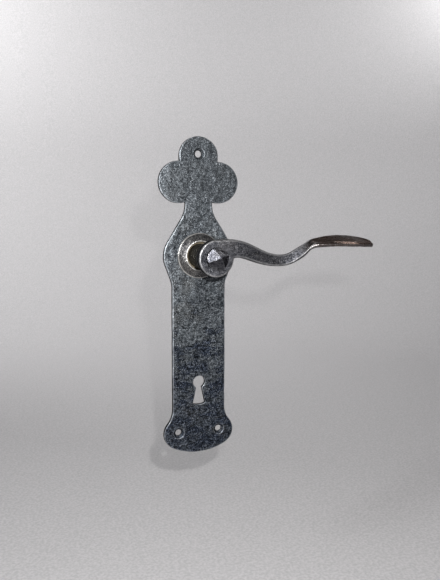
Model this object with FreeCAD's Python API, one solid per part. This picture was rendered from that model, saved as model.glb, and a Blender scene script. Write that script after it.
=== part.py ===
"""Forged steel door lever handle on a long shaped plate, one STEP file per piece.

Frame: millimetres, +Z up, +X along the lever, -Y out of the door towards the hand.
The origin is on the lever's turning axis, in the plane of the plate's back face (Y = 0).
"""

import FreeCAD, Part
import math
import os

V = FreeCAD.Vector
AXIS_POINT = V(0, 0, 0)
TURN_AXIS = V(0, 1, 0)

# ---- clearances ---------------------------------------------------------------------
RUNNING_FIT = 0.05          # radial gap between pieces that turn on each other
SEAT_GAP = 0.30             # face gap between pieces of the two bodies
NEAR_FIT = 0.05             # gap between pieces that are held together

# ---- back plate ---------------------------------------------------------------------
PLATE_T = 3.0
PLATE_EDGE_R = 0.5
LINE_SHARE = 0.95           # most of a line that the arcs at its two ends may take
SIDE_LOBE_X = 14.3
SIDE_LOBE_Z = 50.3
SIDE_LOBE_R = 14.3
TOP_LOBE_RISE = 17.2        # from the side lobes' centres up to the top lobe's
TOP_LOBE_R = 14.0
WAIST_HALF = 9.8            # half width where the clover joins the boss
WAIST_DROP = 6.73           # from the clover down to the flare's corner, before it is rounded
WAIST_R = 18.7
BOSS_HALF = 25.3
BOSS_TOP_Z = 4.8            # height of the boss's upper corner, before it is rounded
BOSS_UPPER_R = 18.0
BOSS_LOWER_R = 16.0
BOSS_LOWER_DROP = 3.8
SHOULDER_DROP = 15.6        # height from the boss's lower corner to the shank's corner
SHOULDER_R = 14.0
SHANK_HALF = 19.35
FOOT_Z = -141.5             # lowest point of the plate
FOOT_ARC_R = 43.0
FOOT_CORNER_R = 11.2
FOOT_CORNER_X = 14.7
FOOT_FLARE_R = 16.0

# ---- screws and keyhole -------------------------------------------------------------
SCREW_HOLE_R = 2.25
SINK_R = 4.0
SINK_DEPTH = 1.6
TOP_SCREW_RISE = 2.1        # from the top lobe's centre
FOOT_SCREW_RISE = 15.5      # from the plate's lowest point
FOOT_SCREW_SPACING = 30.0
KEYHOLE_Z = -90.0
KEYHOLE_R = 4.4
KEY_THROAT_HALF = 2.2
KEY_THROAT_DROP = 4.2
KEY_FOOT_HALF = 4.5
KEY_FOOT_DROP = 15.5
KEY_FOOT_BULGE = 1.0

# ---- spindle, journal and neck ------------------------------------------------------
SPINDLE_SIDE = 8.0
SPINDLE_CHAMFER = 0.8
SPINDLE_BACK_Y = 55.0
JOURNAL_WALL = 1.07         # steel left outside the corners of the square hole
NECK_STEP = 1.7             # shoulder between the journal and the neck
COLLAR_STEP = 0.9
COLLAR_T = 2.6
COLLAR_CHAMFER = 0.7
GRUB_R = 2.5
GRUB_CHAMFER = 0.4
GRUB_CLEAR = 7.5            # from the ring's mouth to the grub screw
GRUB_SUNK = 0.4
GRUB_HEX_AF = 2.5
GRUB_HEX_DEPTH = 2.0

# ---- bush, washers, circlip and stop pin --------------------------------------------
BUSH_WALL = 2.4
BUSH_FLANGE_REACH = 0.8
BUSH_FLANGE_T = 0.8
WASHER_REACH = 1.2          # how far the washer covers the plate round the bush
WASHER_T = 0.4
WAVES = 3
WAVE_T = 0.3
WAVE_RISE = 0.25
WAVE_INSET = 0.6
CIRCLIP_T = 0.6
CIRCLIP_WIDTH = 2.0
CIRCLIP_EYE_R = 1.6
CIRCLIP_HOLE_R = 0.6
CIRCLIP_EYE_ANGLE = 20.0
CIRCLIP_MOUTH = 2.6
GROOVE_DEPTH = 0.5
JOURNAL_LAND = 1.55         # end of the journal behind the circlip
RECESS_SIDE_GAP = 0.6
STOP_PIN_R = 0.5
STOP_PIN_OFFSET = 0.95      # from the journal's surface to the pin's centre
STOP_PIN_REACH = 0.9        # how far the pin stands out of the neck's shoulder
STOP_PIN_IN_NECK = 3.0
STOP_ANGLE = 150.0          # place of the pin round the axis, degrees from +X towards +Z
TRAVEL = 42.0               # how far the lever goes down, degrees

# ---- return spring ------------------------------------------------------------------
SPRING_WIRE_R = 0.5
SPRING_TURNS = 1.4
SPRING_COIL_GAP = 0.08      # between one turn and the next
SPRING_SIDE_GAP = 0.25      # to the bush's flange
SPRING_LIFT = 0.1
SPRING_BEND_R = 1.0
SPRING_FIXED_LEG = 1.7
SPRING_SLOT_DEPTH = 1.6
SPRING_LEG_IN = 1.2

# ---- guide ring on the plate --------------------------------------------------------
MOUTH_GAP = 1.1             # gap round the neck
RING_EDGE_H = 1.2
RING_LIP_R = 0.7
RING_WALL = 1.2
RING_ROOM = 0.69            # height left above the spring
RING_RIM = 0.95             # from the rivet bosses to the ring's edge
RING_DOME = 0.45            # how far the face stands proud of a straight cone
RIVET_R = 0.8
RIVET_HEAD_R = 1.5
RIVET_DEPTH = 1.1           # length of the rivet in the ring's boss
RIVET_BOSS_R = 1.5
RIVET_BOSS_GAP = 0.55       # from the spring to a boss
RIVET_ANGLES = (70.0, 190.0, 310.0)

# ---- lever --------------------------------------------------------------------------
EYE_R = 12.0
EYE_FRONT_Y = -39.3
EYE_T = 6.5
EYE_EDGE_R = 0.8
TENON_WALL = 1.5            # steel round the stud's shank in the neck's square tenon
TENON_COVER = 2.9           # steel of the eye in front of the tenon
STRAP_BEVEL = (0.08, 0.18)  # bevel on the strap's edges, as shares of the width and the thickness
LEAF_BEVEL = (0.14, 0.30)   # the same on the leaf

LEAF_TURN = 50.0            # turn from which the sections are square to X, not to the strap

# Stations along the strap and the leaf: distance from the axis, depth of the centre line
# behind the eye's front face, height, width, thickness, and turn of the twist in degrees.
STATIONS = (
    (2.0, 2.6, 4.6, 15.0, 5.2, 0.0),
    (9.0, 2.6, 5.8, 13.6, 5.2, 0.0),
    (16.0, 3.1, 5.8, 11.4, 5.2, 0.0),
    (24.0, 4.6, 3.6, 10.4, 5.2, 0.0),
    (32.0, 6.2, 0.6, 9.3, 5.2, 0.0),
    (40.0, 7.4, -1.6, 8.4, 5.2, 0.0),
    (48.0, 7.7, -2.4, 8.0, 5.2, 4.0),
    (55.0, 7.0, -1.4, 7.8, 5.2, 13.0),
    (61.0, 6.0, 1.7, 8.0, 5.0, 21.0),
    (66.0, 4.7, 5.1, 7.4, 4.8, 32.0),
    (69.0, 3.9, 7.7, 7.8, 4.6, 54.0),
    (71.0, 3.4, 8.7, 9.0, 4.3, 68.0),
    (74.0, 3.5, 9.3, 12.0, 4.0, 74.0),
    (78.0, 3.7, 9.7, 15.2, 3.8, 75.0),
    (84.0, 3.8, 10.3, 18.6, 3.7, 75.0),
    (91.0, 3.8, 10.6, 21.6, 3.6, 75.0),
    (98.0, 3.8, 10.5, 23.0, 3.5, 75.0),
    (104.5, 4.0, 10.3, 22.2, 3.4, 75.0),
    (108.8, 4.05, 9.95, 20.2, 3.3, 74.0),
    (111.8, 3.2, 9.6, 16.2, 3.2, 72.5),
    (113.8, 1.9, 9.2, 12.0, 3.1, 69.0),
    (114.8, 0.6, 8.85, 8.4, 3.0, 63.0),
    (115.3, -0.55, 8.5, 5.2, 2.9, 57.0),
)

# ---- pyramid stud -------------------------------------------------------------------
STUD_R = 7.3
STUD_SIDE_H = 2.4
STUD_APEX_H = 9.2
STUD_CORNER_R = 8.6
STUD_CORNERS = (18.0, 118.0, 200.0, 305.0)    # filed by hand, so the facets are unequal
STUD_APEX_UP = 1.0          # the point stands a little above the turning axis
STUD_SHANK_R = 3.0
STUD_GRIP = 5.0             # length of the shank behind the eye
BROACH_WALL = 1.7           # steel between the stud's shank and the spindle

# ---- sizes worked out from the ones above -------------------------------------------
PLATE_FRONT_Y = -PLATE_T
TOP_LOBE_Z = SIDE_LOBE_Z + TOP_LOBE_RISE
TOP_SCREW_Z = TOP_LOBE_Z + TOP_SCREW_RISE
FOOT_SCREW_Z = FOOT_Z + FOOT_SCREW_RISE
EYE_BACK_Y = EYE_FRONT_Y + EYE_T
FLANGE_FRONT_Y = PLATE_FRONT_Y - BUSH_FLANGE_T
NECK_SHOULDER_Y = FLANGE_FRONT_Y - SEAT_GAP

BROACH_HALF = SPINDLE_SIDE / 2 + NEAR_FIT
JOURNAL_R = BROACH_HALF * math.sqrt(2) + JOURNAL_WALL
NECK_R = JOURNAL_R + NECK_STEP
COLLAR_R = NECK_R + COLLAR_STEP
BUSH_R = JOURNAL_R + BUSH_WALL
BUSH_FLANGE_R = BUSH_R + BUSH_FLANGE_REACH
WASHER_R = BUSH_R + WASHER_REACH
RECESS_R = WASHER_R + RECESS_SIDE_GAP
CIRCLIP_R = JOURNAL_R + CIRCLIP_WIDTH
STOP_PIN_CIRCLE = JOURNAL_R + STOP_PIN_OFFSET

STACK = (SEAT_GAP, WASHER_T, NEAR_FIT, WAVE_T + WAVE_RISE, NEAR_FIT, CIRCLIP_T, NEAR_FIT)
RECESS_DEPTH = sum(STACK)   # the counterbore takes the washers and the circlip
RECESS_Y = -RECESS_DEPTH
WASHER_Y = RECESS_Y + SEAT_GAP
WAVE_Y = WASHER_Y + WASHER_T + NEAR_FIT
CIRCLIP_Y = WAVE_Y + WAVE_T + WAVE_RISE + NEAR_FIT
JOURNAL_END_Y = CIRCLIP_Y + CIRCLIP_T + JOURNAL_LAND

SPRING_COIL_R = BUSH_FLANGE_R + SPRING_SIDE_GAP + SPRING_WIRE_R
SPRING_RISE = (2 * SPRING_WIRE_R + SPRING_COIL_GAP) * SPRING_TURNS
SPRING_TOP = SPRING_LIFT + SPRING_RISE + 2 * SPRING_WIRE_R
SPRING_Y = PLATE_FRONT_Y - SPRING_LIFT - SPRING_WIRE_R
RIVET_CIRCLE = SPRING_COIL_R + SPRING_WIRE_R + RIVET_BOSS_GAP + RIVET_BOSS_R
SPRING_START = RIVET_ANGLES[1] + math.degrees(math.asin((RIVET_BOSS_R + SPRING_WIRE_R + NEAR_FIT) / RIVET_CIRCLE))
SPRING_END = SPRING_START - SPRING_TURNS * 360.0

RING_MOUTH_R = NECK_R + MOUTH_GAP
RING_H = SPRING_TOP + RING_ROOM + RING_WALL
RING_R = RIVET_CIRCLE + RIVET_BOSS_R + RING_RIM

TENON_SIDE = 2 * (STUD_SHANK_R + TENON_WALL)
TENON_LENGTH = EYE_T - TENON_COVER
STUD_SHANK_LENGTH = EYE_T + STUD_GRIP
BROACH_END_Y = EYE_FRONT_Y + STUD_SHANK_LENGTH + NEAR_FIT + BROACH_WALL
SPINDLE_FRONT_Y = BROACH_END_Y + NEAR_FIT
GRUB_Y = PLATE_FRONT_Y - RING_H - GRUB_CLEAR


def on_axis(radius, length, y0, x=0.0, z=0.0):
    """Cylinder along +Y from y0."""
    return Part.makeCylinder(radius, length, V(x, y0, z), TURN_AXIS)


def tube(outer, inner, length, y0):
    return on_axis(outer, length, y0).cut(on_axis(inner, length, y0))


def square_bar(half, y0, y1):
    return Part.makeBox(2 * half, y1 - y0, 2 * half, V(-half, y0, -half))


def polar(radius, degrees, y=0.0):
    """Point round the turning axis, measured from +X towards +Z."""
    a = math.radians(degrees)
    return V(radius * math.cos(a), y, radius * math.sin(a))


def revolve(profile):
    """Turn a closed list of edges, drawn in the X-Y plane, about the Y axis."""
    face = Part.Face(Part.Wire(Part.__sortEdges__(profile)))
    return face.revolve(AXIS_POINT, TURN_AXIS, 360)


def arc_about(centre, radius, start, end):
    """Arc in the plate's plane from start to end, the shorter way round."""
    middle = (start + end) * 0.5 - centre
    middle = centre + middle * (radius / middle.Length)
    return Part.Arc(start, middle, end).toShape()


def circles_meet(c1, r1, c2, r2, outer):
    """The crossing of two circles in the plate's plane that lies furthest along outer."""
    d = c2 - c1
    along = (r1 * r1 - r2 * r2 + d.Length ** 2) / (2 * d.Length)
    off = math.sqrt(r1 * r1 - along * along)
    unit = d / d.Length
    side = V(unit.z, 0, -unit.x)
    points = [c1 + unit * along + side * off, c1 + unit * along - side * off]
    return max(points, key=lambda p: p.dot(outer))


def half_angle(before, corner, after):
    u = (before - corner).normalize()
    w = (after - corner).normalize()
    return math.acos(max(-1.0, min(1.0, u.dot(w)))) / 2


def fitted_radii(points, radii):
    """The corner radii, each made smaller where its lines are too short to hold the arcs."""
    halves = [half_angle(*three) for three in zip(points, points[1:], points[2:])]
    setbacks = [0.0] + [r / math.tan(half) for r, half in zip(radii, halves)] + [0.0]
    lines = [(b - a).Length for a, b in zip(points, points[1:])]
    shares = [min(1.0, LINE_SHARE * line / (s1 + s2)) for line, s1, s2 in zip(lines, setbacks, setbacks[1:])]
    return [r * min(pair) for r, pair in zip(radii, zip(shares, shares[1:]))]


def rounded_run(points, radii):
    """Lines joined by tangent arcs. Each inner point is a corner with its own radius."""
    edges = []
    last = points[0]
    for before, corner, after, radius in zip(points, points[1:], points[2:], fitted_radii(points, radii)):
        u = (before - corner).normalize()
        w = (after - corner).normalize()
        half = half_angle(before, corner, after)
        setback = radius / math.tan(half)
        bisector = (u + w).normalize()
        centre = corner + bisector * (radius / math.sin(half))
        start = corner + u * setback
        end = corner + w * setback
        edges.append(Part.LineSegment(last, start).toShape())
        edges.append(Part.Arc(start, centre - bisector * radius, end).toShape())
        last = end
    edges.append(Part.LineSegment(last, points[-1]).toShape())
    return edges


# ---- back plate ---------------------------------------------------------------------
def plate_half_outline():
    """Edges of the right half, from the top of the clover to the lowest point."""
    top_c = V(0, 0, TOP_LOBE_Z)
    side_c = V(SIDE_LOBE_X, 0, SIDE_LOBE_Z)
    crown = V(0, 0, TOP_LOBE_Z + TOP_LOBE_R)
    notch = circles_meet(top_c, TOP_LOBE_R, side_c, SIDE_LOBE_R, V(1, 0, 0))
    rise = math.sqrt(SIDE_LOBE_R ** 2 - (SIDE_LOBE_X - WAIST_HALF) ** 2)
    waist = V(WAIST_HALF, 0, SIDE_LOBE_Z - rise)
    edges = [arc_about(top_c, TOP_LOBE_R, crown, notch)]
    edges.append(Part.Arc(notch, side_c + V(SIDE_LOBE_R, 0, 0), waist).toShape())

    flare_top = waist - V(0, 0, WAIST_DROP)
    boss_low = -BOSS_LOWER_DROP
    shank_top = boss_low - SHOULDER_DROP
    corner_c = V(FOOT_CORNER_X, 0, 0)
    bottom_c = V(0, 0, FOOT_Z + FOOT_ARC_R)
    reach = FOOT_ARC_R - FOOT_CORNER_R
    corner_c.z = bottom_c.z - math.sqrt(reach ** 2 - FOOT_CORNER_X ** 2)
    flare_c = V(SHANK_HALF + FOOT_FLARE_R, 0, 0)
    span = FOOT_FLARE_R + FOOT_CORNER_R
    flare_c.z = corner_c.z + math.sqrt(span ** 2 - (flare_c.x - corner_c.x) ** 2)
    shank_end = V(SHANK_HALF, 0, flare_c.z)
    run = [waist, flare_top, V(BOSS_HALF, 0, BOSS_TOP_Z), V(BOSS_HALF, 0, boss_low),
           V(SHANK_HALF, 0, shank_top), shank_end]
    edges += rounded_run(run, (WAIST_R, BOSS_UPPER_R, BOSS_LOWER_R, SHOULDER_R))

    to_corner = (corner_c - flare_c).normalize()
    flare_end = flare_c + to_corner * FOOT_FLARE_R
    edges.append(arc_about(flare_c, FOOT_FLARE_R, shank_end, flare_end))
    to_bottom = (corner_c - bottom_c).normalize()
    corner_end = bottom_c + to_bottom * FOOT_ARC_R
    edges.append(arc_about(corner_c, FOOT_CORNER_R, flare_end, corner_end))
    edges.append(arc_about(bottom_c, FOOT_ARC_R, corner_end, V(0, 0, FOOT_Z)))
    return edges


def screw_places():
    half = FOOT_SCREW_SPACING / 2
    return ((0.0, TOP_SCREW_Z), (-half, FOOT_SCREW_Z), (half, FOOT_SCREW_Z))


def keyhole_cutter():
    round_hole = on_axis(KEYHOLE_R, PLATE_T + 2, PLATE_FRONT_Y - 1, z=KEYHOLE_Z)
    y = PLATE_FRONT_Y - 1
    top = KEYHOLE_Z - KEY_THROAT_DROP
    low = KEYHOLE_Z - KEY_FOOT_DROP
    corners = [V(-KEY_THROAT_HALF, y, KEYHOLE_Z), V(-KEY_THROAT_HALF, y, top), V(-KEY_FOOT_HALF, y, low),
               V(KEY_FOOT_HALF, y, low), V(KEY_THROAT_HALF, y, top), V(KEY_THROAT_HALF, y, KEYHOLE_Z)]
    edges = [Part.LineSegment(a, b).toShape() for a, b in zip(corners, corners[1:] + corners[:1])
             if a.z != low or b.z != low]
    edges.append(Part.Arc(corners[2], V(0, y, low - KEY_FOOT_BULGE), corners[3]).toShape())
    slot = Part.Face(Part.Wire(Part.__sortEdges__(edges))).extrude(V(0, PLATE_T + 2, 0))
    return round_hole.fuse(slot)


def back_plate():
    right = plate_half_outline()
    left = [edge.mirror(AXIS_POINT, V(1, 0, 0)) for edge in right]
    outline = Part.Wire(Part.__sortEdges__(right + left))
    plate = Part.Face(outline).extrude(V(0, -PLATE_T, 0))
    rim = [e for e in plate.Edges if abs(e.BoundBox.YMax - PLATE_FRONT_Y) < 1e-6]
    plate = plate.makeFillet(PLATE_EDGE_R, rim)
    for x, z in screw_places():
        plate = plate.cut(on_axis(SCREW_HOLE_R, PLATE_T + 2, PLATE_FRONT_Y - 1, x, z))
        sink = Part.makeCone(SINK_R, SCREW_HOLE_R, SINK_DEPTH, V(x, PLATE_FRONT_Y, z), TURN_AXIS)
        plate = plate.cut(sink)
    plate = plate.cut(keyhole_cutter())
    plate = plate.cut(on_axis(BUSH_R + NEAR_FIT, PLATE_T + 2, PLATE_FRONT_Y - 1))
    plate = plate.cut(on_axis(RECESS_R, RECESS_DEPTH + 1, RECESS_Y))
    for angle in RIVET_ANGLES:
        place = polar(RIVET_CIRCLE, angle)
        plate = plate.cut(on_axis(RIVET_R + NEAR_FIT, PLATE_T + 2, PLATE_FRONT_Y - 1, place.x, place.z))
        head = Part.makeCone(RIVET_R + NEAR_FIT, RIVET_HEAD_R + NEAR_FIT, RIVET_HEAD_R - RIVET_R,
                             V(place.x, RIVET_R - RIVET_HEAD_R, place.z), TURN_AXIS)
        plate = plate.cut(head)
    return plate


# ---- guide ring and its rivets ------------------------------------------------------
def ring_point(radius, height):
    return V(radius, PLATE_FRONT_Y - height, 0)


def dome_arc(r0, h0, r1, h1):
    """Arc of the ring's face that stands RING_DOME proud of the straight line."""
    run, rise = r1 - r0, h1 - h0
    length = math.hypot(run, rise)
    middle = ring_point((r0 + r1) / 2 + RING_DOME * rise / length, (h0 + h1) / 2 - RING_DOME * run / length)
    return Part.Arc(ring_point(r0, h0), middle, ring_point(r1, h1)).toShape()


def ring_shell():
    lip_r, lip_h = RING_MOUTH_R, RING_H - RING_LIP_R
    crown_r = RING_MOUTH_R + RING_LIP_R
    floor_r = RING_R - RING_WALL
    under_r, under_h = crown_r + RING_WALL * 0.4, RING_H - RING_WALL
    lip_mid = ring_point(crown_r - RING_LIP_R * math.sqrt(0.5), lip_h + RING_LIP_R * math.sqrt(0.5))
    outline = [
        Part.LineSegment(ring_point(RING_R, 0), ring_point(RING_R, RING_EDGE_H)).toShape(),
        dome_arc(RING_R, RING_EDGE_H, crown_r, RING_H),
        Part.Arc(ring_point(crown_r, RING_H), lip_mid, ring_point(lip_r, lip_h)).toShape(),
        Part.LineSegment(ring_point(lip_r, lip_h), ring_point(lip_r, under_h)).toShape(),
        Part.LineSegment(ring_point(lip_r, under_h), ring_point(under_r, under_h)).toShape(),
        dome_arc(floor_r, 0, under_r, under_h),
        Part.LineSegment(ring_point(floor_r, 0), ring_point(RING_R, 0)).toShape(),
    ]
    return revolve(outline)


def ring_full():
    """The ring's outer form with no hollow, which the bosses are trimmed to."""
    crown_r = RING_MOUTH_R + RING_LIP_R
    outline = [
        Part.LineSegment(ring_point(0, 0), ring_point(RING_R, 0)).toShape(),
        Part.LineSegment(ring_point(RING_R, 0), ring_point(RING_R, RING_EDGE_H)).toShape(),
        dome_arc(RING_R, RING_EDGE_H, crown_r, RING_H),
        Part.LineSegment(ring_point(crown_r, RING_H), ring_point(0, RING_H)).toShape(),
        Part.LineSegment(ring_point(0, RING_H), ring_point(0, 0)).toShape(),
    ]
    return revolve(outline)


def guide_ring():
    ring = ring_shell()
    trim = ring_full()
    for angle in RIVET_ANGLES:
        place = polar(RIVET_CIRCLE, angle)
        boss = on_axis(RIVET_BOSS_R, RING_H, PLATE_FRONT_Y - RING_H, place.x, place.z).common(trim)
        ring = ring.fuse(boss)
        hole = on_axis(RIVET_R + NEAR_FIT, RIVET_DEPTH + NEAR_FIT + 1, PLATE_FRONT_Y - RIVET_DEPTH - NEAR_FIT,
                       place.x, place.z)
        ring = ring.cut(hole)
    return ring


def ring_rivets():
    rivets = []
    for angle in RIVET_ANGLES:
        place = polar(RIVET_CIRCLE, angle)
        shank = on_axis(RIVET_R, PLATE_T + RIVET_DEPTH, PLATE_FRONT_Y - RIVET_DEPTH, place.x, place.z)
        head = Part.makeCone(RIVET_R, RIVET_HEAD_R, RIVET_HEAD_R - RIVET_R,
                             V(place.x, RIVET_R - RIVET_HEAD_R, place.z), TURN_AXIS)
        rivets.append(shank.fuse(head).removeSplitter())
    return Part.makeCompound(rivets)


# ---- bush, washers and circlip ------------------------------------------------------
def bearing_bush():
    sleeve = tube(BUSH_R, JOURNAL_R + RUNNING_FIT, PLATE_T - RECESS_DEPTH, PLATE_FRONT_Y)
    flange = tube(BUSH_FLANGE_R, JOURNAL_R + RUNNING_FIT, BUSH_FLANGE_T, FLANGE_FRONT_Y)
    bush = sleeve.fuse(flange).removeSplitter()
    return bush.cut(stop_slot())


def stop_slot():
    """Curved slot in the bush that the stop pin runs in: its two ends are the lever's stops."""
    pin_half = math.degrees((STOP_PIN_R + NEAR_FIT) / STOP_PIN_CIRCLE)
    low_y = NECK_SHOULDER_Y + STOP_PIN_REACH + SEAT_GAP
    depth = low_y - FLANGE_FRONT_Y
    gap_half = STOP_PIN_R + NEAR_FIT * 2
    band = tube(STOP_PIN_CIRCLE + gap_half, STOP_PIN_CIRCLE - gap_half, depth + 1, FLANGE_FRONT_Y - 1)
    first = STOP_ANGLE + pin_half
    last = STOP_ANGLE - TRAVEL - pin_half
    reach = BUSH_R * 2
    y = FLANGE_FRONT_Y - 1
    corners = [V(0, y, 0), polar(reach, first, y), polar(reach * 1.2, (first + last) / 2, y), polar(reach, last, y)]
    wedge = Part.Face(Part.makePolygon(corners + corners[:1])).extrude(V(0, depth + 1, 0))
    return band.common(wedge)


def stop_pin():
    place = polar(STOP_PIN_CIRCLE, STOP_ANGLE)
    return on_axis(STOP_PIN_R, STOP_PIN_REACH + STOP_PIN_IN_NECK, NECK_SHOULDER_Y - STOP_PIN_IN_NECK,
                   place.x, place.z)


def thrust_washer():
    return tube(WASHER_R, JOURNAL_R + RUNNING_FIT, WASHER_T, WASHER_Y)


def wave_washer():
    """Thin ring bent in waves between the thrust washer and the circlip."""
    inner = JOURNAL_R + RUNNING_FIT
    steps = WAVES * 8
    wires = []
    for radius in (inner, WASHER_R - WAVE_INSET):
        for lift in (0.0, WAVE_T):
            points = []
            for k in range(steps):
                a = 360.0 * k / steps
                wave = (1 - math.cos(math.radians(WAVES * a))) / 2
                points.append(polar(radius, a, WAVE_Y + WAVE_RISE * wave + lift))
            curve = Part.BSplineCurve()
            curve.interpolate(points, PeriodicFlag=True)
            wires.append(curve.toShape())
    inner_low, inner_high, outer_low, outer_high = wires
    faces = [Part.makeRuledSurface(inner_low, outer_low), Part.makeRuledSurface(outer_low, outer_high),
             Part.makeRuledSurface(outer_high, inner_high), Part.makeRuledSurface(inner_high, inner_low)]
    shell = Part.makeShell(faces)
    solid = Part.makeSolid(shell)
    if solid.Volume < 0:
        solid.reverse()
    return solid


def retaining_circlip():
    """Clip in the journal's groove, open at the top, with an eye at each end."""
    inner = JOURNAL_R - GROOVE_DEPTH + NEAR_FIT
    clip = on_axis(CIRCLIP_R, CIRCLIP_T, CIRCLIP_Y)
    eyes = [polar(CIRCLIP_R, 90 + side * CIRCLIP_EYE_ANGLE) for side in (-1, 1)]
    for eye in eyes:
        clip = clip.fuse(on_axis(CIRCLIP_EYE_R, CIRCLIP_T, CIRCLIP_Y, eye.x, eye.z))
    clip = clip.cut(on_axis(inner, CIRCLIP_T, CIRCLIP_Y))
    for eye in eyes:
        clip = clip.cut(on_axis(CIRCLIP_HOLE_R, CIRCLIP_T, CIRCLIP_Y, eye.x, eye.z))
    mouth = Part.makeBox(CIRCLIP_MOUTH, CIRCLIP_T, RECESS_R, V(-CIRCLIP_MOUTH / 2, CIRCLIP_Y, 0))
    return clip.cut(mouth).removeSplitter()


# ---- return spring ------------------------------------------------------------------
def spring_line():
    """Points along the wire: fixed leg, bend, coil, bend, then the leg in the neck's slot."""
    bend = math.degrees(SPRING_BEND_R / SPRING_COIL_R)
    leg_steps, bend_steps, coil_steps = 3, 4, round(SPRING_TURNS * 24)
    bend_turns = [math.pi / 2 * k / bend_steps for k in range(bend_steps + 1)]
    outer = SPRING_COIL_R + SPRING_BEND_R
    inner = SPRING_COIL_R - SPRING_BEND_R
    inner_end = NECK_R - SPRING_LEG_IN
    low_y, high_y = SPRING_Y, SPRING_Y - SPRING_RISE

    points = [polar(outer + SPRING_FIXED_LEG * (1 - k / leg_steps), SPRING_START, low_y) for k in range(leg_steps)]
    for t in bend_turns[:-1]:
        angle = SPRING_START - bend * (1 - math.cos(t))
        points.append(polar(outer - SPRING_BEND_R * math.sin(t), angle, low_y))
    first, last = SPRING_START - bend, SPRING_END + bend
    for k in range(coil_steps + 1):
        share = k / coil_steps
        points.append(polar(SPRING_COIL_R, first + (last - first) * share, low_y - SPRING_RISE * share))
    for t in bend_turns[1:]:
        angle = SPRING_END + bend * (1 - math.sin(t))
        points.append(polar(inner + SPRING_BEND_R * math.cos(t), angle, high_y))
    points += [polar(inner + (inner_end - inner) * k / leg_steps, SPRING_END, high_y) for k in range(1, leg_steps + 1)]
    return points


def return_spring():
    """Torsion coil in the ring's hollow: one leg on a rivet boss, one in the neck's slot."""
    points = spring_line()
    line = Part.BSplineCurve()
    line.interpolate(points)
    section = Part.Wire(Part.makeCircle(SPRING_WIRE_R, points[0], polar(1, SPRING_START)))
    return Part.Wire(line.toShape()).makePipeShell([section], True, False)


def spring_slot():
    """Slot along the neck's end that the spring's moving leg sits in."""
    half = SPRING_WIRE_R + NEAR_FIT * 2
    y0 = PLATE_FRONT_Y - SPRING_TOP - SEAT_GAP
    box = Part.makeBox(SPRING_SLOT_DEPTH + 1, NECK_SHOULDER_Y - y0 + 1, 2 * half,
                       V(NECK_R - SPRING_SLOT_DEPTH, y0, -half))
    box.rotate(AXIS_POINT, TURN_AXIS, -SPRING_END)
    return box


# ---- neck, spindle and grub screw ---------------------------------------------------
def lever_neck():
    neck = on_axis(NECK_R, NECK_SHOULDER_Y - EYE_BACK_Y, EYE_BACK_Y)
    collar = on_axis(COLLAR_R, COLLAR_T, EYE_BACK_Y)
    rims = [e for e in collar.Edges if len(e.Vertexes) == 1]
    neck = neck.fuse(collar.makeChamfer(COLLAR_CHAMFER, rims))
    neck = neck.fuse(on_axis(JOURNAL_R, JOURNAL_END_Y - NECK_SHOULDER_Y, NECK_SHOULDER_Y))
    neck = neck.fuse(square_bar(TENON_SIDE / 2, EYE_BACK_Y - TENON_LENGTH, EYE_BACK_Y))
    neck = neck.removeSplitter()
    groove = tube(JOURNAL_R + 1, JOURNAL_R - GROOVE_DEPTH, CIRCLIP_T + 2 * NEAR_FIT, CIRCLIP_Y - NEAR_FIT)
    neck = neck.cut(groove)
    neck = neck.cut(square_bar(BROACH_HALF, BROACH_END_Y, JOURNAL_END_Y + 1))
    neck = neck.cut(on_axis(STUD_SHANK_R + NEAR_FIT, STUD_SHANK_LENGTH + NEAR_FIT, EYE_FRONT_Y))
    neck = neck.cut(spring_slot())
    pin = polar(STOP_PIN_CIRCLE, STOP_ANGLE)
    neck = neck.cut(on_axis(STOP_PIN_R + NEAR_FIT, STOP_PIN_IN_NECK + NEAR_FIT + 1,
                            NECK_SHOULDER_Y - STOP_PIN_IN_NECK - NEAR_FIT, pin.x, pin.z))
    tapping = Part.makeCylinder(GRUB_R + NEAR_FIT, NECK_R + 1, V(0, GRUB_Y, -NECK_R - 1), V(0, 0, 1))
    return neck.cut(tapping)


def square_spindle():
    half = SPINDLE_SIDE / 2
    bar = square_bar(half, SPINDLE_FRONT_Y, SPINDLE_BACK_Y)
    end = [e for e in bar.Edges if abs(e.BoundBox.YMin - SPINDLE_BACK_Y) < 1e-6]
    return bar.makeChamfer(SPINDLE_CHAMFER, end)


def grub_screw():
    low = -(NECK_R - GRUB_SUNK)
    length = NECK_R - GRUB_SUNK - SPINDLE_SIDE / 2 - NEAR_FIT
    screw = Part.makeCylinder(GRUB_R, length, V(0, GRUB_Y, low), V(0, 0, 1))
    rims = [e for e in screw.Edges if len(e.Vertexes) == 1]
    screw = screw.makeChamfer(GRUB_CHAMFER, rims)
    across_corners = GRUB_HEX_AF / math.cos(math.radians(30)) / 2
    corners = [V(across_corners * math.cos(math.radians(60 * k)),
                 GRUB_Y + across_corners * math.sin(math.radians(60 * k)), low) for k in range(6)]
    socket = Part.Face(Part.makePolygon(corners + corners[:1])).extrude(V(0, 0, GRUB_HEX_DEPTH))
    return screw.cut(socket)


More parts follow.
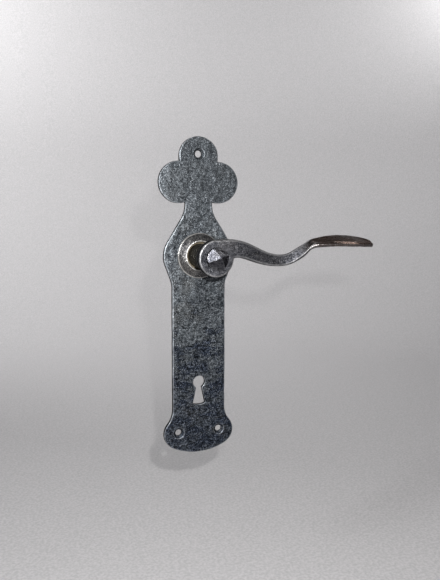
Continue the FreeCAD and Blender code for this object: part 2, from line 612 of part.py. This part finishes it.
# ---- lever arm ----------------------------------------------------------------------
def station_wire(index):
    """Eight-cornered section at one station, square to the strap or to the leaf's length."""
    x, behind, z, width, thick, turn = STATIONS[index]
    here = V(x, EYE_FRONT_Y + behind, z)
    before = STATIONS[max(index - 1, 0)]
    after = STATIONS[min(index + 1, len(STATIONS) - 1)]
    path = V(after[0] - before[0], after[1] - before[1], after[2] - before[2]).normalize()
    leaf_share = min(turn / LEAF_TURN, 1.0)
    along = (path * (1 - leaf_share) + V(1, 0, 0) * leaf_share).normalize()
    a = math.radians(turn)
    wide = V(0, math.sin(a), math.cos(a))
    wide = (wide - along * wide.dot(along)).normalize()
    deep = along.cross(wide)
    half_w, half_t = width / 2, thick / 2
    bevel_w, bevel_t = (s * (1 - leaf_share) + f * leaf_share for s, f in zip(STRAP_BEVEL, LEAF_BEVEL))
    flat_w = half_w - width * bevel_w
    flat_t = half_t - thick * bevel_t
    shape = ((flat_w, half_t), (half_w, flat_t), (half_w, -flat_t), (flat_w, -half_t),
             (-flat_w, -half_t), (-half_w, -flat_t), (-half_w, flat_t), (-flat_w, half_t))
    corners = [here + wide * w + deep * t for w, t in shape]
    return Part.makePolygon(corners + corners[:1])


def lever_arm():
    strap = Part.makeLoft([station_wire(k) for k in range(len(STATIONS))], True, False)
    eye = on_axis(EYE_R, EYE_T, EYE_FRONT_Y)
    rims = [e for e in eye.Edges if len(e.Vertexes) == 1]
    eye = eye.makeFillet(EYE_EDGE_R, rims)
    arm = eye.fuse(strap)
    arm = arm.cut(square_bar(TENON_SIDE / 2 + NEAR_FIT, EYE_BACK_Y - TENON_LENGTH - NEAR_FIT, EYE_BACK_Y + 1))
    return arm.cut(on_axis(STUD_SHANK_R + NEAR_FIT, EYE_T + 2, EYE_FRONT_Y - 1))


def pyramid_stud():
    """Peened stud that clamps the eye on the neck, with a four-sided head."""
    base = [polar(STUD_CORNER_R, corner, EYE_FRONT_Y - STUD_SIDE_H) for corner in STUD_CORNERS]
    apex = V(0, EYE_FRONT_Y - STUD_APEX_H, STUD_APEX_UP)
    faces = [Part.Face(Part.makePolygon(base + base[:1]))]
    faces += [Part.Face(Part.makePolygon([a, b, apex, a])) for a, b in zip(base, base[1:] + base[:1])]
    pyramid = Part.makeSolid(Part.makeShell(faces))
    if pyramid.Volume < 0:
        pyramid.reverse()
    foot = on_axis(STUD_R, STUD_SIDE_H, EYE_FRONT_Y - STUD_SIDE_H)
    block = on_axis(STUD_R, STUD_APEX_H, EYE_FRONT_Y - STUD_APEX_H)
    head = foot.fuse(pyramid.common(block))
    shank = on_axis(STUD_SHANK_R, STUD_SHANK_LENGTH, EYE_FRONT_Y)
    return head.fuse(shank).removeSplitter()


PIECES = {
    "back_plate": back_plate,
    "guide_ring": guide_ring,
    "ring_rivets": ring_rivets,
    "bearing_bush": bearing_bush,
    "return_spring": return_spring,
    "lever_neck": lever_neck,
    "stop_pin": stop_pin,
    "thrust_washer": thrust_washer,
    "wave_washer": wave_washer,
    "retaining_circlip": retaining_circlip,
    "square_spindle": square_spindle,
    "grub_screw": grub_screw,
    "lever_arm": lever_arm,
    "pyramid_stud": pyramid_stud,
}

os.makedirs("parts", exist_ok=True)
for name, make in PIECES.items():
    shape = make()
    shape.exportStep(os.path.join("parts", name + ".step"))
    print(name, "solids", len(shape.Solids), "valid", shape.isValid(), "volume", round(shape.Volume, 1))
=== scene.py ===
"""Looks of a forged steel door lever handle: hammered plate, domed ring, twisted lever.

Metres, in the CAD frame: +Z up, +X along the lever, -Y out of the door.
"""

import math

import bmesh
import bpy
import numpy as np
from mathutils import Matrix, Vector, noise


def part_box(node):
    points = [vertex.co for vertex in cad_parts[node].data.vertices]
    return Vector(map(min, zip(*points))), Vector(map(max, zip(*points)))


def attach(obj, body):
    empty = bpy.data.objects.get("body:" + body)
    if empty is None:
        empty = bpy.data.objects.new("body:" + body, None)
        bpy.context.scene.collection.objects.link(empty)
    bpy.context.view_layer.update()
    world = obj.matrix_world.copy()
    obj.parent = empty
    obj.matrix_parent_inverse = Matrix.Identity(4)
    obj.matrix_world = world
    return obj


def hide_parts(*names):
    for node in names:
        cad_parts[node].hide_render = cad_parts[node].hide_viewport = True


MM = 0.001
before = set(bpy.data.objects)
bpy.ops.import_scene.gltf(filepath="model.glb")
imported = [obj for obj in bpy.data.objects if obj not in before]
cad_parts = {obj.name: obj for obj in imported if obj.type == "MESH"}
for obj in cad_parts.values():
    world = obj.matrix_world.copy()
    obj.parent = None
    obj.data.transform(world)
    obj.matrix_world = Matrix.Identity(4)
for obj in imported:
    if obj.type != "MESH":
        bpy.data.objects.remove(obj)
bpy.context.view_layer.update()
plate_low, plate_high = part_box("back_plate")
ring_low, ring_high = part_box("guide_ring")
arm_low, arm_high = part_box("lever_arm")


# ---- camera, lights and studio ------------------------------------------------------
CAMERA_AT = Vector((-0.1371, -0.4122, 0.0254))
CAMERA_YAW = 20.47
CAMERA_DOWN = 6.54
CAMERA_ROLL = 0.20
LENS = 38.48
SENSOR = 36.0
FLASH_ACROSS = 0.024        # from the lens to the flash, sideways
FLASH_UP = 0.036            # and upwards
WASH_X = 0.35               # middle between the two lamps that light the wall
WASH_APART = 0.8            # from the middle to a lamp
WASH_AIM_APART = 0.4        # from the middle to the place it lights
WASH_POWER = {-1: 10.8, 1: 6.8}
FLOOR_DROP = 0.12           # from the plate's foot to the floor
FLOOR_R = 0.9
BEND_R = 0.5
WALL_H = 1.3


def camera_axes():
    yaw, down, roll = (math.radians(a) for a in (CAMERA_YAW, CAMERA_DOWN, CAMERA_ROLL))
    ahead = Vector((math.sin(yaw) * math.cos(down), math.cos(yaw) * math.cos(down), -math.sin(down)))
    across = Vector((math.cos(yaw), -math.sin(yaw), 0))
    up = across.cross(ahead)
    return (across * math.cos(roll) + up * math.sin(roll),
            up * math.cos(roll) - across * math.sin(roll), ahead)


def make_camera():
    across, up, ahead = camera_axes()
    data = bpy.data.cameras.new("camera")
    data.lens = LENS
    data.sensor_width = SENSOR
    data.clip_start = 0.01
    camera = bpy.data.objects.new("camera", data)
    turn = Matrix((across, up, -ahead)).transposed()
    camera.matrix_world = Matrix.Translation(CAMERA_AT) @ turn.to_4x4()
    bpy.context.scene.collection.objects.link(camera)
    bpy.context.scene.camera = camera


def area_light(name, at, target, size, power, colour):
    data = bpy.data.lights.new(name, "AREA")
    data.shape = "DISK"
    data.size = size
    data.energy = power
    data.color = colour
    lamp = bpy.data.objects.new(name, data)
    aim = Vector(target) - Vector(at)
    lamp.matrix_world = Matrix.Translation(at) @ aim.to_track_quat("-Z", "Y").to_matrix().to_4x4()
    bpy.context.scene.collection.objects.link(lamp)


def make_lights():
    across, up, ahead = camera_axes()
    flash = CAMERA_AT + across * FLASH_ACROSS + up * FLASH_UP
    area_light("flash", flash, (0.03, 0, -0.02), 0.008, 3.0, (1.0, 0.985, 0.97))
    area_light("left_soft", (-0.75, -0.28, 0.36), (0, -0.03, 0), 0.22, 4.2, (0.98, 0.99, 1.0))
    area_light("back_soft", (0.1, 0.75, 1.0), (0, 0.02, -0.05), 0.4, 3.5, (1.0, 1.0, 1.0))
    area_light("right_soft", (0.453, 0.176, 0.568), (0.06, -0.04, 0.01), 0.06, 0.8, (1.0, 0.99, 0.97))
    for side, power in WASH_POWER.items():
        lamp_at = (WASH_X + WASH_APART * side, 0.75, 0.7)
        aimed_at = (WASH_X + WASH_AIM_APART * side, 1.4, 0.62)
        area_light("wall_wash", lamp_at, aimed_at, 0.35, power, (1.0, 1.0, 1.0))
    world = bpy.data.worlds.new("studio")
    world.use_nodes = True
    sky = world.node_tree.nodes["Background"]
    sky.inputs["Color"].default_value = (0.97, 0.98, 1.0, 1.0)
    sky.inputs["Strength"].default_value = 0.13
    bpy.context.scene.world = world
    bpy.context.scene.view_settings.view_transform = "Standard"


def make_studio():
    """Round pale floor that curves up into a low wall, so that every view has the same ground."""
    floor_z = plate_low.z - FLOOR_DROP
    profile = [(0.0, floor_z), (FLOOR_R, floor_z)]
    profile += [(FLOOR_R + BEND_R * math.sin(a), floor_z + BEND_R * (1 - math.cos(a)))
                for a in np.linspace(0.1, math.pi / 2, 14)]
    profile.append((FLOOR_R + BEND_R, floor_z + WALL_H))
    studio = lathe("studio_floor", profile, 96, Vector((0, 0, 1)))
    studio.data.materials.append(pale_paint())


# ---- mesh tools ---------------------------------------------------------------------
HAMMER_REACH = 0.7          # distance from a hammer mark's middle where it stops rising, in marks
HAMMER_LEVEL = 0.45         # distance at which a hammer mark leaves the surface where it was


def new_object(name, mesh):
    piece = bpy.data.objects.new(name, mesh)
    bpy.context.scene.collection.objects.link(piece)
    return piece


def lathe(name, profile, steps, axis):
    """Surface turned about an axis through the origin from (radius, height) pairs."""
    side = axis.orthogonal().normalized()
    other = axis.cross(side)
    verts, faces = [], []
    for radius, height in profile:
        for k in range(steps):
            a = 2 * math.pi * k / steps
            verts.append(side * (radius * math.cos(a)) + other * (radius * math.sin(a)) + axis * height)
    for row in range(len(profile) - 1):
        for k in range(steps):
            a, b = row * steps + k, row * steps + (k + 1) % steps
            faces.append((a, b, b + steps, a + steps))
    mesh = bpy.data.meshes.new(name)
    mesh.from_pydata(verts, [], faces)
    mesh.polygons.foreach_set("use_smooth", [True] * len(faces))
    return new_object(name, mesh)


def points_of(mesh):
    flat = np.empty(len(mesh.vertices) * 3)
    mesh.vertices.foreach_get("co", flat)
    return flat.reshape(-1, 3)


def normals_of(mesh):
    flat = np.empty(len(mesh.vertices) * 3)
    mesh.vertices.foreach_get("normal", flat)
    return flat.reshape(-1, 3)


def edges_of(mesh):
    flat = np.empty(len(mesh.edges) * 2, dtype=np.int64)
    mesh.edges.foreach_get("vertices", flat)
    return flat.reshape(-1, 2)


def neighbour_mean(values, edges):
    """Mean of each vertex's neighbours, for an array with one row per vertex."""
    count = len(values)
    total = np.zeros_like(values)
    np.add.at(total, edges[:, 0], values[edges[:, 1]])
    np.add.at(total, edges[:, 1], values[edges[:, 0]])
    links = np.bincount(edges.ravel(), minlength=count).reshape(-1, *([1] * (values.ndim - 1)))
    return total / np.maximum(links, 1)


def solid_copy(node, name, voxel, rounds):
    """Dense, evenly meshed copy of a CAD node, with its edges eased by a few smoothing rounds."""
    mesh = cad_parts[node].data.copy()
    mesh.materials.clear()
    piece = new_object(name, mesh)
    welded = bmesh.new()
    welded.from_mesh(mesh)
    bmesh.ops.remove_doubles(welded, verts=welded.verts, dist=2e-6)
    welded.to_mesh(mesh)
    welded.free()
    remesh = piece.modifiers.new("even", "REMESH")
    remesh.mode = "VOXEL"
    remesh.voxel_size = voxel
    ready = bpy.data.meshes.new_from_object(piece.evaluated_get(bpy.context.evaluated_depsgraph_get()))
    piece.modifiers.clear()
    piece.data = ready
    points, edges = points_of(ready), edges_of(ready)
    for _ in range(rounds):
        points = (points + neighbour_mean(points, edges)) / 2
    ready.vertices.foreach_set("co", points.ravel())
    ready.polygons.foreach_set("use_smooth", [True] * len(ready.polygons))
    ready.update()
    return piece


def dent(piece, marks, keep_flat=None):
    """Moves the surface along its normal by the sum of noise marks: (size of a mark, depth, kind, seed)."""
    mesh = piece.data
    points, normals = points_of(mesh), normals_of(mesh)
    shift = np.zeros(len(points))
    for size, depth, kind, seed in marks:
        offset = Vector((seed * 3.1, seed * 1.7, seed * 2.3))
        for i, p in enumerate(points):
            place = Vector(p) / size + offset
            if kind == "hammer":
                near = noise.voronoi(place)[0][0]
                shift[i] += depth * (min(near, HAMMER_REACH) - HAMMER_LEVEL)
            else:
                shift[i] += depth * noise.noise(place)
    if keep_flat is not None:
        shift *= keep_flat(points, normals)
    mesh.vertices.foreach_set("co", (points + normals * shift[:, None]).ravel())
    mesh.update()


def store(piece, name, values):
    attribute = piece.data.attributes.new(name, "FLOAT", "POINT")
    attribute.data.foreach_set("value", np.clip(values, 0, 1).astype(np.float32))


def mark_wear_and_painted_light(piece, gain, highlight_circles=(), edges_only=False, front_only=False):
    """Stores the wear and painted highlight, high on standing edges and on circles (radius, half width,
    depth).

    It also stores the rim, which is high where the surface faces sideways; the materials paint shade on side
    walls with it.
    """
    mesh = piece.data
    points, normals, edges = points_of(mesh), normals_of(mesh), edges_of(mesh)
    stand = -np.einsum("ij,ij->i", neighbour_mean(points, edges) - points, normals)
    stand = (stand + neighbour_mean(stand, edges)) / 2
    # Bright standing edges: partly wear, partly painted highlight.
    wear_and_highlight = stand * gain
    out = np.hypot(points[:, 0], points[:, 2])
    # On a circle the painted highlight, partly worn edge, is full within 0.6 half widths and gone at 1.6.
    for radius, half, front in highlight_circles:
        near = np.clip(1.6 - np.hypot(out - radius, points[:, 1] - front) / half, 0, 1)
        wear_and_highlight = np.maximum(wear_and_highlight, near * np.clip(stand * gain * 4, 0, 1) if edges_only else near)
    if front_only:
        wear_and_highlight = wear_and_highlight * np.clip(0.1 - normals[:, 1] * 1.7, 0, 1)
    store(piece, "wear_and_highlight", wear_and_highlight)
    # Painted shade: the rim mask lets the materials darken side walls towards black, as if unlit.
    store(piece, "rim", (0.75 - np.abs(normals[:, 1])) * 2.5)


# ---- materials ----------------------------------------------------------------------
class Nodes:
    """Short helper for building one material's node tree."""

    def __init__(self, name):
        self.material = bpy.data.materials.new(name)
        self.material.use_nodes = True
        self.tree = self.material.node_tree
        self.shader = self.tree.nodes["Principled BSDF"]

    def add(self, kind, **settings):
        node = self.tree.nodes.new(kind)
        for key, value in settings.items():
            setattr(node, key, value)
        return node

    def link(self, source, target):
        self.tree.links.new(source, target)

    def noise(self, where, scale, detail, rough=0.6):
        node = self.add("ShaderNodeTexNoise")
        node.inputs["Scale"].default_value = scale
        node.inputs["Detail"].default_value = detail
        node.inputs["Roughness"].default_value = rough
        self.link(where, node.inputs["Vector"])
        return node.outputs["Fac"]

    def remap(self, value, low, high, to_low=0.0, to_high=1.0):
        node = self.add("ShaderNodeMapRange")
        for key, number in (("From Min", low), ("From Max", high), ("To Min", to_low), ("To Max", to_high)):
            node.inputs[key].default_value = number
        self.link(value, node.inputs["Value"])
        return node.outputs["Result"]

    def math(self, operation, a, b):
        node = self.add("ShaderNodeMath", operation=operation)
        for socket, value in zip(node.inputs, (a, b)):
            if isinstance(value, (int, float)):
                socket.default_value = value
            else:
                self.link(value, socket)
        return node.outputs["Value"]

    def weigh(self, a, share_a, b, share_b):
        return self.math("ADD", self.math("MULTIPLY", a, share_a), self.math("MULTIPLY", b, share_b))

    def attribute(self, name):
        return self.add("ShaderNodeAttribute", attribute_name=name).outputs["Fac"]

    def mix(self, share, a, b):
        node = self.add("ShaderNodeMix", data_type="RGBA")
        if isinstance(share, (int, float)):
            node.inputs["Factor"].default_value = share
        else:
            self.link(share, node.inputs["Factor"])
        for socket, value in ((node.inputs[6], a), (node.inputs[7], b)):
            if isinstance(value, tuple):
                socket.default_value = (*value, 1.0)
            else:
                self.link(value, socket)
        return node.outputs[2]

    def bump(self, height, strength, distance):
        node = self.add("ShaderNodeBump")
        node.inputs["Strength"].default_value = strength
        node.inputs["Distance"].default_value = distance
        self.link(height, node.inputs["Height"])
        self.link(node.outputs["Normal"], self.shader.inputs["Normal"])


def pale_paint():
    n = Nodes("pale_paint")
    where = n.add("ShaderNodeTexCoord").outputs["Object"]
    grain = n.noise(where, 420, 2)
    colour = n.mix(n.remap(grain, 0.35, 0.65), (0.40, 0.395, 0.40), (0.50, 0.49, 0.497))
    n.link(colour, n.shader.inputs["Base Color"])
    n.shader.inputs["Roughness"].default_value = 0.9
    return n.material


def shade(colour, factor):
    return tuple(c * factor for c in colour)


def steel_fields(n):
    """Places and noises that the layers of forged steel share."""
    where = n.add("ShaderNodeTexCoord").outputs["Object"]
    split = n.add("ShaderNodeSeparateXYZ")
    n.link(where, split.inputs["Vector"])
    stretch = n.add("ShaderNodeMapping")
    stretch.inputs["Scale"].default_value = (0.5, 1.0, 1.0)
    n.link(where, stretch.inputs["Vector"])
    brushed = stretch.outputs["Vector"]
    streak = n.noise(brushed, 620, 3, 0.65)
    return {"where": where, "x": split.outputs["X"], "z": split.outputs["Z"], "brushed": brushed,
            "blotch": n.noise(where, 260, 5), "grain": n.noise(where, 1500, 2, 0.7), "streak": streak,
            "mottle": n.weigh(n.noise(where, 60, 4), 0.3, streak, 0.7)}


def calm_top(n, fields, colour, dark, light):
    """Evens out the mottling towards the top of the plate."""
    even = shade([d + l for d, l in zip(dark, light)], 0.39)
    return n.mix(n.remap(fields["z"], 10 * MM, 45 * MM, 0, 0.75), colour, even)


def coarse_foot(n, fields, colour, low, light, worn_and_highlight, black):
    """Dark scale with bright flecks, in patches that close up between the two heights in low."""
    depth = n.remap(fields["z"], *low)
    fine = n.weigh(fields["streak"], 0.3, fields["grain"], 0.7)
    blue = tuple(c * s for c, s in zip(light, (0.50, 0.57, 0.78)))
    scale = n.mix(n.remap(fine, 0.46, 0.60), black, blue)
    scale = n.mix(n.math("MULTIPLY", n.remap(fine, 0.58, 0.66), 0.5), scale, worn_and_highlight)
    patch = n.weigh(n.noise(fields["brushed"], 150, 3), 0.6, fine, 0.4)
    patchy = n.remap(patch, 0.44, 0.54, 1.0, 0.0)
    share = n.remap(n.math("ADD", depth, n.math("MULTIPLY", patchy, 0.8)), 0.55, 1.25)
    return n.mix(n.math("MULTIPLY", share, n.remap(depth, 0.0, 0.25)), colour, scale)


def leaf_patina(n, fields, colour, smooth, tint):
    """Brown patina on the leaf's smoother steel."""
    patina = n.mix(n.remap(fields["mottle"], 0.38, 0.62), shade(tint, 0.6), shade(tint, 1.5))
    return n.mix(n.math("MULTIPLY", smooth, 0.85), colour, patina)


def steel_surface(n, fields, rub_and_highlight, calm, rim, side_shade, smooth, metal):
    """Gloss and pits: bright edges (wear and painted highlight) and smooth steel are glossier, and side walls
    with painted shade reflect less.
    """
    n.shader.inputs["Metallic"].default_value = metal
    glint = n.math("SUBTRACT", 0.35, n.math("MULTIPLY", rim, 0.35 * side_shade))
    n.link(glint, n.shader.inputs["Specular IOR Level"])
    n.shader.inputs["Specular Tint"].default_value = (0.35, 0.35, 0.35, 1.0)
    rough = n.remap(fields["blotch"], 0.35, 0.65, 0.48, 0.36)
    rough = n.math("SUBTRACT", rough, n.math("MULTIPLY", rub_and_highlight, 0.10))
    n.link(n.math("SUBTRACT", rough, n.math("MULTIPLY", smooth, 0.16)), n.shader.inputs["Roughness"])
    height = n.math("ADD", fields["blotch"], n.math("MULTIPLY", fields["grain"], 0.35))
    n.bump(n.math("MULTIPLY", height, calm), 0.9, 0.5 * MM)


def forged_steel(name, dark, light, warm, worn_and_highlight, speck, side_shade, leaf=None, low=None, gloss=0.0, metal=0.8):
    """Waxed scale on forged steel: mottled, speckled and pitted, with bright edges that are partly wear and
    partly painted highlight, and painted shade on side walls.

    The leaf is (start, end, tint) along X. The foot's coarse scale runs between the two heights in low.
    """
    n = Nodes(name)
    fields = steel_fields(n)
    black = shade(dark, 0.2)
    colour = n.mix(n.remap(fields["mottle"], 0.40, 0.62), dark, light)
    colour = n.mix(n.remap(n.noise(fields["where"], 38, 3), 0.50, 0.72, 0, 0.45), colour, warm)
    if low:
        colour = calm_top(n, fields, colour, dark, light)
    colour = n.mix(n.math("MULTIPLY", n.remap(fields["grain"], 0.47, 0.38), 0.8), colour, black)
    colour = n.mix(n.math("MULTIPLY", n.remap(fields["grain"], 0.56, 0.66), speck), colour, worn_and_highlight)
    if low:
        colour = coarse_foot(n, fields, colour, low, light, worn_and_highlight, black)
    rim = n.attribute("rim")
    # Painted shade: side walls are darkened towards black, as if unlit.
    colour = n.mix(n.math("MULTIPLY", rim, side_shade), colour, black)
    smooth = gloss
    if leaf:
        start, end, tint = leaf
        smooth = n.remap(fields["x"], start, end)
        colour = leaf_patina(n, fields, colour, smooth, tint)
    calm = n.math("SUBTRACT", 1.0, n.math("MULTIPLY", smooth, 0.6))
    rub_and_highlight = n.math("MULTIPLY", n.attribute("wear_and_highlight"), n.remap(fields["blotch"], 0.34, 0.56, 0.45, 1.0))
    rub_and_highlight = n.math("MULTIPLY", rub_and_highlight, calm)
    # Bright edges, partly wear and partly painted highlight, lighten the colour towards the worn colour.
    n.link(n.mix(rub_and_highlight, colour, worn_and_highlight), n.shader.inputs["Base Color"])
    steel_surface(n, fields, rub_and_highlight, calm, rim, side_shade, smooth, metal)
    return n.material


def drawn_steel(name, base, rough):
    """Bright or oiled steel with fine lines along its length."""
    n = Nodes(name)
    where = n.add("ShaderNodeTexCoord").outputs["Object"]
    stretch = n.add("ShaderNodeMapping")
    stretch.inputs["Scale"].default_value = (1.0, 0.06, 1.0)
    n.link(where, stretch.inputs["Vector"])
    lines = n.noise(stretch.outputs["Vector"], 1800, 3)
    stain = n.noise(where, 160, 4)
    colour = n.mix(n.remap(lines, 0.35, 0.65), shade(base, 0.75), base)
    colour = n.mix(n.remap(stain, 0.5, 0.7, 0, 0.45), colour, shade(base, 0.5))
    n.link(colour, n.shader.inputs["Base Color"])
    n.shader.inputs["Metallic"].default_value = 1.0
    n.link(n.remap(stain, 0.3, 0.7, rough, rough + 0.15), n.shader.inputs["Roughness"])
    n.bump(lines, 0.25, 0.05 * MM)
    return n.material


# ---- the pieces ---------------------------------------------------------------------
def finish_piece(piece, body, node, material):
    piece.data.materials.clear()
    piece.data.materials.append(material)
    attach(piece, body)
    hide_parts(node)


def plate_weight(points, normals):
    """The back lies flat on the door, so only the front and the rim are hammered."""
    return np.clip((plate_high.y - points[:, 1]) / (1.2 * MM), 0, 1)


def make_plate():
    piece = solid_copy("back_plate", "forged_plate", 0.3 * MM, 1)
    dent(piece, [(9 * MM, 0.30 * MM, "hammer", 1), (22 * MM, 0.35 * MM, "noise", 2),
                 (3.2 * MM, 0.10 * MM, "noise", 3)], plate_weight)
    # Front edges get bright wear and painted highlight; the plate's side walls get painted shade.
    mark_wear_and_painted_light(piece, 16000, front_only=True)
    steel = forged_steel("plate_steel", dark=(0.020, 0.024, 0.029), light=(0.118, 0.133, 0.147),
                         warm=(0.080, 0.074, 0.062), worn_and_highlight=(0.50, 0.53, 0.57), speck=0.4, side_shade=0.9,
                         low=(-20 * MM, -115 * MM))
    finish_piece(piece, "plate", "back_plate", steel)


def make_ring():
    piece = solid_copy("guide_ring", "domed_ring", 0.22 * MM, 2)
    dent(piece, [(5 * MM, 0.10 * MM, "noise", 4)])
    mouth = np.hypot(*points_of(piece.data)[:, ::2].T).min()
    # Painted highlight lines, partly worn edge, round the ring's outer edge and its mouth, in pale cream.
    foot_highlight_line = (ring_high.x - 0.25 * MM, 0.55 * MM, plate_low.y - 1.3 * MM)
    mouth_highlight_line = (mouth + 0.4 * MM, 0.5 * MM, ring_low.y + 0.1 * MM)
    mark_wear_and_painted_light(piece, 30000, [foot_highlight_line, mouth_highlight_line])
    steel = forged_steel("ring_steel", dark=(0.024, 0.025, 0.029), light=(0.092, 0.091, 0.093),
                         warm=(0.086, 0.073, 0.054), worn_and_highlight=(0.85, 0.83, 0.80), speck=0.3, side_shade=0.0,
                         gloss=0.3)
    finish_piece(piece, "plate", "guide_ring", steel)


def make_neck():
    piece = solid_copy("lever_neck", "turned_neck", 0.25 * MM, 2)
    dent(piece, [(6 * MM, 0.06 * MM, "noise", 5)])
    mark_wear_and_painted_light(piece, 30000)
    steel = forged_steel("neck_steel", dark=(0.030, 0.028, 0.024), light=(0.085, 0.080, 0.066),
                         warm=(0.07, 0.060, 0.042), worn_and_highlight=(0.60, 0.58, 0.53), speck=0.2, side_shade=0.0,
                         gloss=0.8)
    finish_piece(piece, "lever", "lever_neck", steel)


def make_lever():
    piece = solid_copy("lever_arm", "forged_lever", 0.33 * MM, 3)
    dent(piece, [(8 * MM, 0.16 * MM, "hammer", 6), (14 * MM, 0.20 * MM, "noise", 7),
                 (3 * MM, 0.05 * MM, "noise", 8)])
    # Painted highlight line, partly worn edge, round the eye's front rim.
    eye_highlight_line = (-arm_low.x - 0.3 * MM, 0.4 * MM, arm_low.y + 0.3 * MM)
    mark_wear_and_painted_light(piece, 24000, [eye_highlight_line], edges_only=True)
    leaf_from = arm_low.x + 0.60 * (arm_high.x - arm_low.x)
    steel = forged_steel("lever_steel", dark=(0.022, 0.024, 0.030), light=(0.105, 0.107, 0.121),
                         warm=(0.075, 0.066, 0.056), worn_and_highlight=(0.56, 0.56, 0.57), speck=0.3, side_shade=0.85,
                         leaf=(leaf_from, leaf_from + 10 * MM, (0.050, 0.033, 0.026)))
    finish_piece(piece, "lever", "lever_arm", steel)


def make_stud():
    piece = solid_copy("pyramid_stud", "faceted_stud", 0.13 * MM, 2)
    dent(piece, [(4 * MM, 0.04 * MM, "noise", 9)])
    mark_wear_and_painted_light(piece, 30000)
    steel = forged_steel("stud_steel", dark=(0.040, 0.041, 0.050), light=(0.18, 0.182, 0.20),
                         warm=(0.085, 0.075, 0.065), worn_and_highlight=(0.70, 0.70, 0.72), speck=0.1, side_shade=0.9,
                         gloss=0.7, metal=1.0)
    finish_piece(piece, "lever", "pyramid_stud", steel)


def paint_cad_nodes():
    bright = drawn_steel("bright_steel", (0.40, 0.40, 0.41), 0.30)
    oiled = drawn_steel("spring_steel", (0.09, 0.088, 0.085), 0.38)
    brass = drawn_steel("bush_brass", (0.20, 0.17, 0.12), 0.42)
    finishes = {"ring_rivets": bright, "stop_pin": bright, "thrust_washer": bright, "square_spindle": bright,
                "return_spring": oiled, "wave_washer": oiled, "retaining_circlip": oiled, "grub_screw": oiled,
                "bearing_bush": brass}
    for node, material in finishes.items():
        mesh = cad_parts[node].data
        for place in range(len(mesh.materials)):
            mesh.materials[place] = material
        if not mesh.materials:
            mesh.materials.append(material)


make_camera()
make_studio()
make_lights()
make_plate()
make_ring()
make_neck()
make_lever()
make_stud()
paint_cad_nodes()
